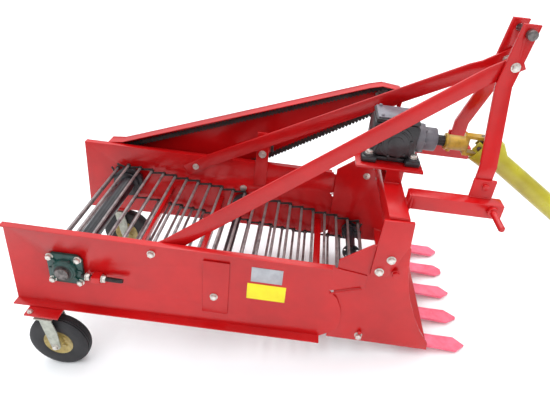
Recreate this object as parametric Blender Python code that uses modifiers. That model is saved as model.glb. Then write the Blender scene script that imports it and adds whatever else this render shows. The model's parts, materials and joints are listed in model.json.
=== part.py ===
"""Single-row potato harvester for a small tractor: side panels, web conveyor, share, hitch,
gearbox and driveshaft.  Drawn level, along the side panels, then leaned nose-down as it parks."""
import bpy
import bmesh
from math import asin, atan2, cos, hypot, pi, radians, sin
from mathutils import Matrix, Vector

# ---- driving dimensions, metres; X forward, Y to the machine's left, Z up, drawn level ----
WIDTH = 0.620            # over the side panels
SHEET = 0.004            # side panel sheet
PANEL_LEN = 1.055        # side panel, rear edge to cheek
PANEL_H = 0.315          # side panel height at the rear
CHEEK_T = 0.008          # share cheek plate
LEG_T = 0.012            # plate that carries the cross beam
GAP = 0.0003             # air between touching pieces
SHAFT_X, SHAFT_Z = 0.195, -0.148        # conveyor drive shaft
SHAFT_R = 0.0173
SUPPORT_X, SUPPORT_Z = 0.684, -0.186    # support roller
FRONT_X, FRONT_Z = 1.160, -0.252        # front roller
REAR_R, SUPPORT_R, FRONT_R = 0.072, 0.040, 0.046   # web path radii
WEB_HALF = 0.009         # half depth of the side belts
ROD_R = 0.0055           # web rod radius
WEB_RODS = 46            # rods round the whole loop
MEMBER = 0.026           # square cross members inside the web
BEAM_X, BEAM_Z, BEAM = 1.180, 0.1355, 0.060        # main cross beam, rear lower edge and size
BOX_X, BOX_Z = 1.196, 0.322             # gearbox output axis
CHAIN_Y = WIDTH / 2 + 0.046              # middle of the drive chain, clear of the panel
DRIVEN_R, DRIVE_R = 0.130, 0.040        # chain path radii on its two sprockets
CHAIN_HALF = 0.0062      # half depth of the drive chain
MAST_Y = 0.173           # mast legs, lower end
EAR_Y = 0.046            # mast legs, upper end
MAST_T = 0.012           # mast leg thickness
EAR_X, EAR_Z = 1.4885, 0.682            # top-link pin
DRAW_Y, DRAW = 0.204, 0.046             # forward tubes, middle and width
DRAW_X1 = 1.515          # front end of the forward tubes
PIN_X, PIN_Z, PIN_R = 1.487, 0.212, 0.0095         # lower hitch pins
BLADE_X = 1.405          # front edge of the share blade
TIP_X = 1.543            # tips of the share points
POINT_PITCH = 0.1335     # share point spacing
POINT_T = 0.010          # share point thickness
WHEEL_R = 0.108          # caster tyre radius
TYRE_W = 0.050
WHEEL_X, WHEEL_Z = 0.147, -0.4555       # caster axle
SWIVEL_X = 0.112         # caster swivel axis
CASTER_Y = WIDTH / 2 + 0.032
CASTER_TOP = -0.3164     # underside of the panel flange at the casters
JOINT_X, JOINT_Z = 1.478, 0.320         # driveshaft universal joint
SHAFT_DROP = radians(27.9)              # driveshaft, down from level
SHAFT_SWING = radians(-23.0)            # driveshaft, towards the right
SHAFT_LEN = 0.9111       # universal joint to tractor-end joint
TUBE_R = 0.0315          # driveshaft guard tube
BACK = -1.09456          # sets the origin midway along the whole length

H = WIDTH / 2
IN = H - SHEET           # inner face of the side panels
CHK = IN - GAP           # outer face of the cheeks
OUT = H + GAP            # where fittings sit on the outside of the panels
BLADE_TOP = -0.284       # top of the blade's front edge
TIP_TOP = BLADE_TOP - POINT_T - GAP
TIP_LOW = TIP_TOP - POINT_T - 0.030 * (TIP_X - BLADE_X)
# The floor touches the tyres and the share tips.
reach, rise = TIP_X - WHEEL_X, WHEEL_Z - TIP_LOW
LEAN = asin(WHEEL_R / hypot(reach, rise)) - atan2(rise, reach)
FLOOR = WHEEL_R + WHEEL_X * sin(LEAN) - WHEEL_Z * cos(LEAN)

for ob in list(bpy.data.objects):
    bpy.data.objects.remove(ob, do_unlink=True)
parts = bpy.data.collections.new("parts")
cutters = bpy.data.collections.new("cutters")
bpy.context.scene.collection.children.link(parts)
bpy.context.scene.collection.children.link(cutters)


def axle(name, place, carrier=None):
    """An empty that carries pieces, with its Z on their joint's axis."""
    ob = bpy.data.objects.new(name, None)
    bpy.context.scene.collection.objects.link(ob)
    ob.matrix_basis = place
    ob.parent = carrier
    return ob


def stand(at, axis, across):
    """A placing matrix: its origin at a point, Z along the axis and X along across."""
    z, x = Vector(axis).normalized(), Vector(across).normalized()
    return Matrix.Translation(at) @ Matrix((x, z.cross(x), z)).transposed().to_4x4()


parked = axle("parked", Matrix.Translation((BACK, 0, FLOOR)) @ Matrix.Rotation(LEAN, 4, 'Y'))


def paint(name, rgb, metal, rough):
    m = bpy.data.materials.new(name)
    m.use_nodes = True
    b = m.node_tree.nodes["Principled BSDF"]
    b.inputs["Base Color"].default_value = (*rgb, 1.0)
    b.inputs["Metallic"].default_value = metal
    b.inputs["Roughness"].default_value = rough
    return m


RED = paint("red_enamel", (0.54, 0.012, 0.012), 0.0, 0.25)
BLACK = paint("black_paint", (0.02, 0.02, 0.022), 0.0, 0.4)
STEEL = paint("web_steel", (0.16, 0.13, 0.14), 0.8, 0.45)
ZINC = paint("zinc", (0.58, 0.56, 0.53), 0.9, 0.35)
CAST = paint("cast_grey", (0.045, 0.038, 0.042), 0.3, 0.5)
GREEN = paint("bearing_green", (0.013, 0.068, 0.054), 0.1, 0.45)
YELLOW = paint("guard_yellow", (0.47, 0.37, 0.03), 0.0, 0.4)
RUBBER = paint("tyre_rubber", (0.02, 0.02, 0.024), 0.0, 0.8)
CREAM = paint("rim_cream", (0.47, 0.38, 0.17), 0.0, 0.4)


def adopt(name, bm, mat, place, carrier):
    """Makes an object of a mesh in hand.  With no material it is a tool for a Boolean."""
    bmesh.ops.recalc_face_normals(bm, faces=bm.faces)
    mesh = bpy.data.meshes.new(name)
    bm.to_mesh(mesh)
    bm.free()
    ob = bpy.data.objects.new(name, mesh)
    (parts if mat else cutters).objects.link(ob)
    ob.matrix_basis = place
    ob.parent = carrier
    if mat:
        mesh.materials.append(mat)
    else:
        ob.hide_render = True
        ob.display_type = 'WIRE'
    return ob


def box(name, lo, hi, mat=None, carrier=parked):
    lo, hi = Vector(lo), Vector(hi)
    bm = bmesh.new()
    bmesh.ops.create_cube(bm, size=1.0, matrix=Matrix.Diagonal((*(hi - lo), 1.0)))
    return adopt(name, bm, mat, Matrix.Translation((lo + hi) / 2), carrier)


def across_box(name, xs, ys, zs, mat=None):
    """A box from pairs of limits, which may come in either order."""
    lo, hi = zip(*(sorted(pair) for pair in (xs, ys, zs)))
    return box(name, lo, hi, mat)


def rod(name, a, b, r, n, mat=None, carrier=parked):
    a, b = Vector(a), Vector(b)
    bm = bmesh.new()
    bmesh.ops.create_cone(bm, cap_ends=True, segments=n, radius1=r, radius2=r,
                          depth=(b - a).length)
    turn = (b - a).to_track_quat('Z', 'Y').to_matrix().to_4x4()
    return adopt(name, bm, mat, Matrix.Translation((a + b) / 2) @ turn, carrier)


def turned(name, profile, n, place, mat=None, carrier=parked, ring=False):
    """A turned shape: (distance along the axis, radius) points swept by a Screw modifier.
    A ring's profile closes on itself, and any other is closed on the axis."""
    if not ring:
        profile = [(profile[0][0], 0.0)] + list(profile) + [(profile[-1][0], 0.0)]
    bm = bmesh.new()
    verts = [bm.verts.new((r, 0.0, d)) for d, r in profile]
    for a, b in zip(verts, verts[1:] + verts[:1] if ring else verts[1:]):
        bm.edges.new((a, b))
    ob = adopt(name, bm, mat, place, carrier)
    screw = ob.modifiers.new("turned", 'SCREW')
    screw.steps = screw.render_steps = n
    screw.use_merge_vertices = True
    screw.merge_threshold = 0.00001
    area = sum(a[0] * b[1] - b[0] * a[1] for a, b in zip(profile, profile[1:] + profile[:1]))
    screw.use_normal_flip = area < 0
    return ob


def plate(name, outlines, thick, place, mat=None, carrier=parked):
    """Flat plate: a filled 2D curve, extruded, and turned to a mesh so that it can be cut."""
    curve = bpy.data.curves.new(name, 'CURVE')
    curve.dimensions = '2D'
    curve.fill_mode = 'BOTH'
    curve.extrude = thick / 2
    for outline in outlines:
        spline = curve.splines.new('POLY')
        spline.points.add(len(outline) - 1)
        spline.use_cyclic_u = True
        for point, (u, v) in zip(spline.points, outline):
            point.co = (u, v, 0.0, 1.0)
    flat = bpy.data.objects.new(name, curve)
    bm = bmesh.new()
    bm.from_mesh(bpy.data.meshes.new_from_object(flat))
    bmesh.ops.remove_doubles(bm, verts=bm.verts, dist=0.000001)
    bpy.data.objects.remove(flat)
    return adopt(name, bm, mat, place, carrier)


def upright(name, outline, y0, y1, mat=None, carrier=parked):
    """Plate standing along the machine: an outline of (x, z) points from y0 to y1."""
    place = Matrix.Translation((0, (y0 + y1) / 2, 0)) @ Matrix.Rotation(pi / 2, 4, 'X')
    return plate(name, [outline], abs(y1 - y0), place, mat, carrier)


def loop_plate(name, path, half, y0, y1, mat=None):
    """Endless belt or chain: the band within half its depth of a closed path."""
    place = Matrix.Translation((0, (y0 + y1) / 2, 0)) @ Matrix.Rotation(pi / 2, 4, 'X')
    loops = [offset(path, [half] * len(path)), offset(path, [-half] * len(path))]
    return plate(name, loops, abs(y1 - y0), place, mat)


def offset(path, gaps):
    """A closed clockwise path moved outwards, by a gap for each point."""
    moved = []
    for i, gap in enumerate(gaps):
        a, p, b = (Vector(path[k % len(path)]) for k in (i - 1, i, i + 1))
        before, after = (p - a).normalized(), (b - p).normalized()
        normal = Vector((-before.y - after.y, before.x + after.x)).normalized()
        square = max(0.4, normal.dot(Vector((-before.y, before.x))))
        moved.append(tuple(p + normal * (gap / square)))
    return moved


def bar(name, path, wide, width, thick, mat):
    """Flat bar bent along a path: its end face is extruded from each bend to the next."""
    path, wide = [Vector(p) for p in path], Vector(wide).normalized()
    sections = []
    for i, p in enumerate(path):
        before = (p - path[i - 1]) if i else (path[1] - p)
        after = (path[i + 1] - p) if i < len(path) - 1 else before
        flat = before.cross(wide).normalized()
        mitre = (flat + after.cross(wide).normalized()).normalized()
        mitre *= thick / 2 / mitre.dot(flat)
        half = wide * width / 2
        sections.append([p - half - mitre, p + half - mitre, p + half + mitre, p - half + mitre])
    bm = bmesh.new()
    start = end = bm.faces.new([bm.verts.new(corner) for corner in sections[0]])
    for here, there in zip(sections, sections[1:]):
        grown = bmesh.ops.extrude_face_region(bm, geom=[end])["geom"]
        if end is not start:
            bmesh.ops.delete(bm, geom=[end], context='FACES_ONLY')
        end = next(g for g in grown if isinstance(g, bmesh.types.BMFace))
        for vert in end.verts:
            nearest = min(range(4), key=lambda k: (here[k] - vert.co).length)
            vert.co = there[nearest]
    return adopt(name, bm, mat, Matrix(), parked)


def fuse(base, *others, op='UNION'):
    for other in others:
        m = base.modifiers.new("bool", 'BOOLEAN')
        m.operation = op
        m.solver = 'EXACT'
        m.object = other
    return base


def cut(base, *others):
    return fuse(base, *others, op='DIFFERENCE')


def square_tube(name, lo, hi, wall, along, mat):
    """Hollow square tube, open at both ends."""
    i = "XYZ".index(along)
    a = [lo[k] + (wall if k != i else -0.01) for k in range(3)]
    b = [hi[k] - (wall if k != i else -0.01) for k in range(3)]
    return cut(box(name, lo, hi, mat), box(name + "_bore", a, b))


def wrap(circles, steps=12):
    """Closed path round circles (x, z, r, from angle, to angle) and plain points."""
    out = []
    for x, z, *arc in circles:
        if not arc:
            out.append((x, z))
            continue
        r, a0, a1 = arc
        for k in range(steps + 1):
            a = radians(a0 + (a1 - a0) * k / steps)
            out.append((x + r * cos(a), z + r * sin(a)))
    return out


def spaced(path, count):
    """Evenly spaced points along a closed path."""
    ends = [Vector(p) for p in path]
    spans = list(zip(ends, ends[1:] + ends[:1]))
    pitch = sum((b - a).length for a, b in spans) / count
    out, start = [], 0.0
    for a, b in spans:
        while len(out) < count and (len(out) + 0.5) * pitch <= start + (b - a).length:
            out.append(a.lerp(b, ((len(out) + 0.5) * pitch - start) / (b - a).length))
        start += (b - a).length
    return out


SIDES = ((-1, "right"), (1, "left"))

# ---- side panels: bent sheet with an outward flange top and bottom, tongue over the cheek ----
TONGUE = [(1.064, -0.290), (1.098, -0.262), (1.105, -0.236), (1.104, -0.200), (1.098, -0.170),
          (1.080, -0.130), (1.051, -0.099), (1.158, -0.068), (1.157, -0.022)]
for s, hand in SIDES:
    edge = [(0.0, -PANEL_H), (PANEL_LEN - 0.010, -PANEL_H + 0.0115)] + TONGUE
    edge += [(PANEL_LEN, -0.007), (PANEL_LEN, 0.0), (0.005, 0.0)]
    panel = upright("side_panel_" + hand, edge, s * H, s * IN, RED)
    top = across_box("top_flange_" + hand, (0.005, PANEL_LEN - 0.008), (s * IN, s * (H + 0.020)),
                     (-SHEET, 0.0))
    foot = upright("foot_flange_" + hand,
                   [(0.0, -PANEL_H - 0.002), (PANEL_LEN - 0.010, -PANEL_H + 0.0095),
                    (PANEL_LEN - 0.010, -PANEL_H + 0.0135), (0.0, -PANEL_H + 0.002)],
                   s * IN, s * (H + 0.032))
    fuse(panel, top, foot)
    cut(panel, rod("shaft_hole_" + hand, (SHAFT_X, s * (IN - 0.05), SHAFT_Z),
                   (SHAFT_X, s * (H + 0.05), SHAFT_Z), SHAFT_R + 0.009, 20))

# ---- share cheeks, with the plates that carry the cross beam ----
CHEEK = [(1.070, -0.3045), (1.410, -0.305), (BLADE_X, -0.276), (1.366, -0.222), (1.3405, -0.175),
         (1.3115, -0.110), (1.294, -0.061), (1.283, -0.015), (1.2745, 0.025), (1.266, 0.095),
         (1.260, 0.103), (1.156, 0.091), (1.064, 0.020), (1.064, -0.004)]
LEG = [(1.162, -0.010), (1.215, -0.010), (1.258, 0.112), (1.253, 0.192), (1.166, 0.190)]
for s, hand in SIDES:
    upright("cheek_" + hand, CHEEK, s * CHK, s * (CHK - CHEEK_T), RED)
    upright("leg_plate_" + hand, LEG, s * (CHK + GAP), s * (CHK + GAP + LEG_T), RED)

# ---- main cross beam and the two forward tubes with their mast clamps and hitch pins ----
square_tube("main_cross_beam", (BEAM_X, -CHK, BEAM_Z), (BEAM_X + BEAM + 0.0005, CHK, BEAM_Z + BEAM),
            0.005, 'Y', RED)
face = BEAM_X + BEAM + 0.0005 + GAP      # front of the beam, where the forward tubes sit
for s, hand in SIDES:
    y0, y1 = sorted((s * (DRAW_Y - DRAW / 2), s * (DRAW_Y + DRAW / 2)))
    low, high = PIN_Z - 0.025, PIN_Z + 0.0205
    tube = square_tube("drawbar_" + hand, (face + 0.0052, y0, low), (DRAW_X1, y1, high), 0.005,
                       'X', RED)
    clamp_y = MAST_Y + MAST_T / 2 + GAP
    fuse(tube,
         box("drawbar_foot_" + hand, (face, y0 + 0.001, BEAM_Z + 0.0025),
             (face + 0.0082, y1 - 0.001, high - 0.001)),
         across_box("mast_clamp_" + hand, (1.421, 1.487), (s * clamp_y, s * (clamp_y + 0.010)),
                    (high - 0.0045, high + 0.0585)),
         box("drawbar_end_" + hand, (DRAW_X1 - 0.005, y0 + 0.001, low + 0.001),
             (DRAW_X1 + 0.002, y1 - 0.001, high - 0.001)))
    cut(tube, rod("drawbar_vent_" + hand, (face + 0.060, s * DRAW_Y, low - 0.02),
                  (face + 0.060, s * DRAW_Y, low + 0.01), 0.006, 10))
    seat = DRAW_Y + DRAW / 2 + GAP
    turned("hitch_pin_" + hand,
           [(0, 0.017), (0.010, 0.017), (0.010, PIN_R), (0.092, PIN_R), (0.098, 0.006)], 24,
           stand((PIN_X, s * seat, PIN_Z), (0, s, 0), (1, 0, 0)), RED)

# ---- mast: two bent flat legs drawn together at the top-link ears ----
for s, hand in SIDES:
    leg = bar("mast_leg_" + hand, [(1.4505, s * MAST_Y, PIN_Z + 0.021), (1.4515, s * MAST_Y, 0.330),
                                   (1.4660, s * EAR_Y, 0.5300), (EAR_X, s * EAR_Y, EAR_Z + 0.025)],
              (1, 0, 0), 0.048, MAST_T, RED)
    cut(leg, rod("ear_hole_" + hand, (EAR_X, s * (EAR_Y - 0.02), EAR_Z),
                 (EAR_X, s * (EAR_Y + 0.02), EAR_Z), 0.0103, 16))
turned("top_link_pin", [(0, 0.014), (0.0227, 0.014), (0.0227, 0.0095), (0.1350, 0.0095),
                        (0.140, 0.007)], 24,
       stand((EAR_X, -EAR_Y - MAST_T / 2 - GAP - 0.0227, EAR_Z), (0, 1, 0), (1, 0, 0)), ZINC)

# ---- stays from the side panels up to the mast ----
for s, hand in SIDES:
    ya = s * (IN - GAP - 0.004)
    yb = s * (EAR_Y - MAST_T / 2 - GAP - 0.004)
    bar("stay_" + hand, [(0.440, ya, -0.0727), (0.530, ya, -0.0156), (1.395, s * 0.0480, 0.5400),
                         (1.425, yb, 0.5560), (1.502, yb, 0.6050)], (-0.5358, 0, 0.8443),
        0.050, 0.008, RED)

# ---- share: blade across the cheeks and five points bent to its slope ----
blade_y = CHK - CHEEK_T - GAP
RAKE = 0.3217            # slope of the blade
blade_back = BLADE_X - 0.143
upright("share_blade", [(blade_back, BLADE_TOP + 0.046), (BLADE_X, BLADE_TOP),
                        (BLADE_X, BLADE_TOP - POINT_T), (blade_back, BLADE_TOP - POINT_T + 0.046)],
        -blade_y, blade_y, RED)
POINT_W = 0.055
SHOULDERS = (0.033, 0.040, 0.034, 0.030, 0.028)      # how far behind the tip each one narrows
BLUNT = (0.0, 0.004, 0.0, 0.011, 0.0)                # half width that wear has left at the tip
for k, (shoulder, blunt) in enumerate(zip(SHOULDERS, BLUNT)):
    flank = [(BLADE_X - 0.075, POINT_W / 2), (BLADE_X + 0.035, POINT_W / 2),
             (TIP_X - shoulder, POINT_W / 2 + 0.003), (TIP_X - blunt / 2, blunt)]
    outline = flank + [(x, -y) for x, y in reversed(flank) if y]
    middle = TIP_TOP - POINT_T / 2
    point = plate("share_point_%d" % (k + 1), [outline], POINT_T,
                  Matrix.Translation((0, (k - 2) * POINT_PITCH, middle)), RED)
    bm = bmesh.new()
    bm.from_mesh(point.data)
    bmesh.ops.bisect_plane(bm, geom=bm.verts[:] + bm.edges[:] + bm.faces[:],
                           plane_co=(BLADE_X, 0, 0), plane_no=(1, 0, 0))
    for vert in bm.verts:
        slope = RAKE if vert.co.x < BLADE_X else 0.030
        vert.co.z -= (vert.co.x - BLADE_X) * slope
    bm.to_mesh(point.data)
    bm.free()

# ---- cross members between the runs of the web ----
for label, x, z in (("rear", 0.370, -0.178), ("middle", 0.590, -0.196), ("front", 1.020, -0.247)):
    square_tube("cross_member_" + label, (x - MEMBER / 2, -IN + GAP, z - MEMBER / 2),
                (x + MEMBER / 2, IN - GAP, z + MEMBER / 2), 0.003, 'Y', RED)

# ---- web conveyor: two side belts and the rods, one fixed loop ----
path = wrap([(SHAFT_X, SHAFT_Z, REAR_R, 270, 82), (SUPPORT_X, SUPPORT_Z + SUPPORT_R + WEB_HALF),
             (FRONT_X, FRONT_Z, FRONT_R, 80, -93), (0.900, -0.2925), (0.620, -0.2670),
             (0.360, -0.2380)])
belt = IN - 0.016        # outer side of the belts
web = loop_plate("web_conveyor", path, WEB_HALF, -belt, 0.018 - belt, STEEL)
bm = bmesh.new()
for p in spaced(path, WEB_RODS):
    place = Matrix.Translation((p.x, 0, p.y)) @ Matrix.Rotation(pi / 2, 4, 'X')
    bmesh.ops.create_cone(bm, cap_ends=True, segments=8, radius1=ROD_R, radius2=ROD_R,
                          depth=2 * belt + 0.003, matrix=place)
fuse(web, loop_plate("web_belt", path, WEB_HALF, belt - 0.018, belt),
     adopt("web_rods", bm, None, Matrix(), parked))

# ---- rear drive shaft with its drum and web discs, support roller, front roller ----
disc = REAR_R - WEB_HALF - 0.0012
mid = IN - 0.014         # outer side of the web discs
turned("drive_shaft",
       [(-0.352, SHAFT_R), (-mid, SHAFT_R), (-mid, disc), (0.022 - mid, disc), (0.022 - mid, 0.030),
        (mid - 0.022, 0.030), (mid - 0.022, disc), (mid, disc), (mid, SHAFT_R), (0.376, SHAFT_R)],
       28, stand((SHAFT_X, 0, SHAFT_Z), (0, 1, 0), (1, 0, 0)), BLACK)
hub_r = DRIVEN_R - CHAIN_HALF - 0.0016   # sprocket rim, inside the chain's flat facets
turned("driven_sprocket", [(CHAIN_Y - 0.004, SHAFT_R + GAP), (CHAIN_Y - 0.004, hub_r),
                           (CHAIN_Y + 0.004, hub_r), (CHAIN_Y + 0.004, SHAFT_R + GAP)], 28,
       stand((SHAFT_X, 0, SHAFT_Z), (0, 1, 0), (1, 0, 0)), STEEL, ring=True)
wheel = SUPPORT_R - 0.0009
end = IN - 0.0004
turned("support_roller",
       [(-end, 0.012), (0.014 - end, 0.012), (0.014 - end, wheel), (0.038 - end, wheel),
        (0.038 - end, 0.016), (end - 0.038, 0.016), (end - 0.038, wheel), (end - 0.014, wheel),
        (end - 0.014, 0.012), (end, 0.012)], 24,
       stand((SUPPORT_X, 0, SUPPORT_Z), (0, 1, 0), (1, 0, 0)), BLACK)
end = blade_y
wheel = FRONT_R - WEB_HALF - 0.0008
turned("front_roller", [(-end, 0.014), (0.006 - end, 0.014), (0.006 - end, wheel),
                        (end - 0.006, wheel), (end - 0.006, 0.014), (end, 0.014)], 24,
       stand((FRONT_X, 0, FRONT_Z), (0, 1, 0), (1, 0, 0)), BLACK)

# ---- bearings, take-up screws and roller pads on the outside of the panels ----
FLANGE, CORNER = 0.0585, 0.016           # half width of the bearing's square and its cut corners
octagon = [(FLANGE * a, FLANGE * b) for a, b in ((-1, -1), (1, -1), (1, 1), (-1, 1))]
for s, hand in SIDES:
    square = []
    for k, (x, z) in enumerate(octagon):
        cuts = [(x, z - CORNER * z / FLANGE), (x - CORNER * x / FLANGE, z)]
        square += cuts if k % 2 == 0 else cuts[::-1]
    housing = upright("bearing_" + hand, [(SHAFT_X + x, SHAFT_Z + z) for x, z in square[::-1]],
                      s * OUT, s * (OUT + 0.012), GREEN)
    fuse(housing, turned("bearing_boss_" + hand, [(0, 0.043), (0.020, 0.036), (0.026, 0.032)], 24,
                         stand((SHAFT_X, s * (OUT + 0.006), SHAFT_Z), (0, s, 0), (1, 0, 0))))
    cut(housing, rod("bearing_bore_" + hand, (SHAFT_X, s * (OUT - 0.02), SHAFT_Z),
                     (SHAFT_X, s * (OUT + 0.05), SHAFT_Z), SHAFT_R + GAP, 28))
    screw_z, screw_y = SHAFT_Z - 0.012, s * (OUT + 0.020)
    lug = across_box("takeup_" + hand, (0.296, 0.308), (s * OUT, s * (OUT + 0.036)),
                     (screw_z - 0.012, screw_z + 0.012), RED)
    for label, x0, x1, r, n in (("rod", SHAFT_X + FLANGE + GAP, 0.386, 0.008, 12),
                                ("nut_a", 0.270, 0.286, 0.014, 6), ("nut_b", 0.307, 0.334, 0.014, 6)):
        fuse(lug, rod("takeup_%s_%s" % (label, hand), (x0, screw_y, screw_z),
                      (x1, screw_y, screw_z), r, n))
    across_box("roller_pad_" + hand, (SUPPORT_X - 0.038, SUPPORT_X + 0.047),
               (s * OUT, s * (OUT + 0.005)), (SUPPORT_Z - 0.071, SUPPORT_Z + 0.143), RED)

# ---- gearbox on its platform, output shaft to the drive sprocket ----
BASE = BOX_Z - 0.074     # top of the platform
deck = box("gearbox_platform", (BOX_X - 0.113, -0.100, BASE - 0.008), (BOX_X + 0.100, 0.100, BASE),
           RED)
top = BEAM_Z + BEAM + GAP
fuse(deck, box("pedestal_a", (BEAM_X + 0.003, -0.095, top), (BEAM_X + 0.057, -0.085, BASE - 0.006)),
     box("pedestal_b", (BEAM_X + 0.003, 0.085, top), (BEAM_X + 0.057, 0.095, BASE - 0.006)),
     box("pedestal_c", (BEAM_X + 0.025, -0.090, top), (BEAM_X + 0.033, 0.090, BASE - 0.006)))
gearbox = box("gearbox", (BOX_X - 0.096, -0.078, BASE + GAP), (BOX_X + 0.086, 0.078, BASE + 0.014),
              CAST)
fuse(gearbox,
     upright("gearbox_body", [(BOX_X + x, BOX_Z + z) for x, z in
                              ((-0.078, -0.067), (0.072, -0.067), (0.080, -0.032), (0.080, 0.038),
                               (0.066, 0.070), (-0.066, 0.070), (-0.084, 0.038),
                               (-0.084, -0.032))], -0.066, 0.066),
     box("gearbox_cover", (BOX_X - 0.064, -0.056, BOX_Z + 0.068),
         (BOX_X + 0.062, 0.056, BOX_Z + 0.080)),
     rod("gearbox_side", (BOX_X, -0.080, BOX_Z), (BOX_X, 0.080, BOX_Z), 0.040, 24),
     turned("gearbox_snout", [(0, 0.048), (0.012, 0.048), (0.012, 0.038), (0.062, 0.036)], 24,
            stand((BOX_X + 0.074, 0, BOX_Z), (1, 0, 0), (0, 1, 0))))
STUB_R = 0.015
cut(gearbox, rod("gearbox_in_bore", (1.300, 0, BOX_Z), (1.36, 0, BOX_Z), STUB_R + GAP, 24),
    rod("gearbox_out_bore", (BOX_X, 0.060, BOX_Z), (BOX_X, 0.10, BOX_Z), STUB_R + GAP, 24))
hub_r = DRIVE_R - CHAIN_HALF - 0.0007
turned("output_shaft", [(0.0603, STUB_R), (CHAIN_Y - 0.004, STUB_R), (CHAIN_Y - 0.004, hub_r),
                        (CHAIN_Y + 0.004, hub_r), (CHAIN_Y + 0.004, 0.022), (0.3783, 0.022)], 24,
       stand((BOX_X, 0, BOX_Z), (0, 1, 0), (1, 0, 0)), STEEL)

# ---- drive chain in its guard beyond the left panel, tensioner on the panel ----
SLACK_X, SLACK_Z = 0.7724, 0.0138        # where the lower run bends under the tensioner
loop_plate("drive_chain", wrap([(SHAFT_X, SHAFT_Z, DRIVEN_R, 299, 111),
                                (BOX_X, BOX_Z, DRIVE_R, 111, -61), (SLACK_X, SLACK_Z)]),
           CHAIN_HALF, CHAIN_Y - 0.006, CHAIN_Y + 0.006, STEEL)
# (x, z, rim): the rim is folded in all round, but for the open stretch under the chain
GUARD = [(0.048, -0.150, 0.003), (0.062, -0.070, 0.003), (0.096, 0.000, 0.003),
         (0.154, 0.006, 0.003), (1.134, 0.362, 0.003), (1.180, 0.374, 0.003),
         (1.252, 0.366, 0.003), (1.266, 0.330, 0.003), (1.262, 0.290, 0.003),
         (1.226, 0.272, -0.020), (0.800, 0.022, -0.020), (0.740, -0.042, 0.003),
         (0.320, -0.258, 0.003), (0.270, -0.292, 0.003), (0.190, -0.304, 0.003),
         (0.110, -0.276, 0.003), (0.062, -0.220, 0.003)]
outline = [(x, z) for x, z, rim in GUARD]
guard_y = H + 0.020 + GAP
guard = upright("chain_guard", outline, guard_y, CHAIN_Y + 0.032, RED)
cut(guard, upright("guard_hollow", offset(outline, [-rim for x, z, rim in GUARD]),
                   guard_y - 0.03, CHAIN_Y + 0.029))
PULLEY_X, PULLEY_Z = 0.754, 0.047
arm = box("tensioner", (PULLEY_X - 0.026, IN - GAP - 0.008, -0.098),
          (PULLEY_X + 0.025, IN - GAP, 0.140), RED)
fuse(arm, rod("tensioner_pin", (PULLEY_X, IN - 0.006, PULLEY_Z),
              (PULLEY_X, CHAIN_Y + 0.010, PULLEY_Z), 0.010, 14),
     rod("tensioner_wheel", (PULLEY_X, CHAIN_Y - 0.006, PULLEY_Z),
         (PULLEY_X, CHAIN_Y + 0.005, PULLEY_Z), 0.030, 20))

# ---- rear casters: swivel fork, axle, rim and tyre ----
SEAT_R = 0.046           # rim well, under the tyre
RIM = [(0.028, 0.018), (0.016, 0.018), (0.016, 0.038), (0.018, SEAT_R + 0.004), (0.010, SEAT_R)]
TYRE = [(TYRE_W / 2 - 0.002, SEAT_R + 0.011), (TYRE_W / 2, WHEEL_R - 0.040),
        (TYRE_W / 2, WHEEL_R - 0.020), (TYRE_W / 2 - 0.006, WHEEL_R - 0.006),
        (TYRE_W / 2 - 0.013, WHEEL_R)]
SEAT = [(0.0205, SEAT_R + 0.0065), (0.0178, SEAT_R + 0.0043), (0.010, SEAT_R + GAP)]
for s, hand in SIDES:
    top = CASTER_TOP - GAP
    across_box("caster_plate_" + hand, (SWIVEL_X - 0.055, SWIVEL_X + 0.060),
               (s * 0.3015, s * 0.383), (top - 0.0067, top), RED)
    swivel = axle("swivel_" + hand, Matrix.Translation((SWIVEL_X, s * CASTER_Y, 0)), parked)
    trail, under = WHEEL_X - SWIVEL_X, top - 0.0067 - GAP
    fork = rod("caster_fork_" + hand, (0, 0, under - 0.009), (0, 0, under), 0.030, 20, ZINC, swivel)
    fuse(fork, box("fork_crown_" + hand, (-0.026, -0.040, under - 0.0137),
                   (0.036, 0.040, under - 0.0087), carrier=swivel))
    for side in (-1, 1):
        leg = [(-0.007, under - 0.0127), (0.034, under - 0.0127), (0.048, under - 0.065),
               (trail + 0.017, WHEEL_Z), (trail + 0.012, WHEEL_Z - 0.012), (trail, WHEEL_Z - 0.017),
               (trail - 0.012, WHEEL_Z - 0.012), (trail - 0.017, WHEEL_Z), (0.004, under - 0.065)]
        fuse(fork, upright("fork_leg_%s_%d" % (hand, side), leg, side * 0.036, side * 0.040,
                           carrier=swivel))
    fuse(fork, rod("fork_axle_" + hand, (trail, -0.046, WHEEL_Z), (trail, 0.046, WHEEL_Z), 0.0075,
                   32, carrier=swivel))
    hub = axle("axle_" + hand, stand((trail, 0, WHEEL_Z), (0, 1, 0), (1, 0, 0)), swivel)
    turned("caster_rim_" + hand,
           [(-0.028, 0.0082)] + [(-d, r) for d, r in RIM] + [(d, r) for d, r in reversed(RIM)]
           + [(0.028, 0.0082)], 32, Matrix(), CREAM, hub, ring=True)
    turned("caster_tyre_" + hand,
           [(-d, r) for d, r in TYRE] + [(d, r) for d, r in reversed(TYRE)]
           + SEAT + [(-d, r) for d, r in reversed(SEAT)], 32, Matrix(), RUBBER, hub, ring=True)

# ---- driveshaft: yokes, crosses and two guarded tubes that slide in each other ----
ARM_IN, ARM_OUT, EYE_R = 0.0235, 0.0335, 0.0083
FORK = [(-ARM_OUT, 0.016), (-ARM_OUT, -0.056), (ARM_OUT, -0.056), (ARM_OUT, 0.016),
        (ARM_IN, 0.016), (ARM_IN, -0.044), (-ARM_IN, -0.044), (-ARM_IN, 0.016)]


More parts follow.
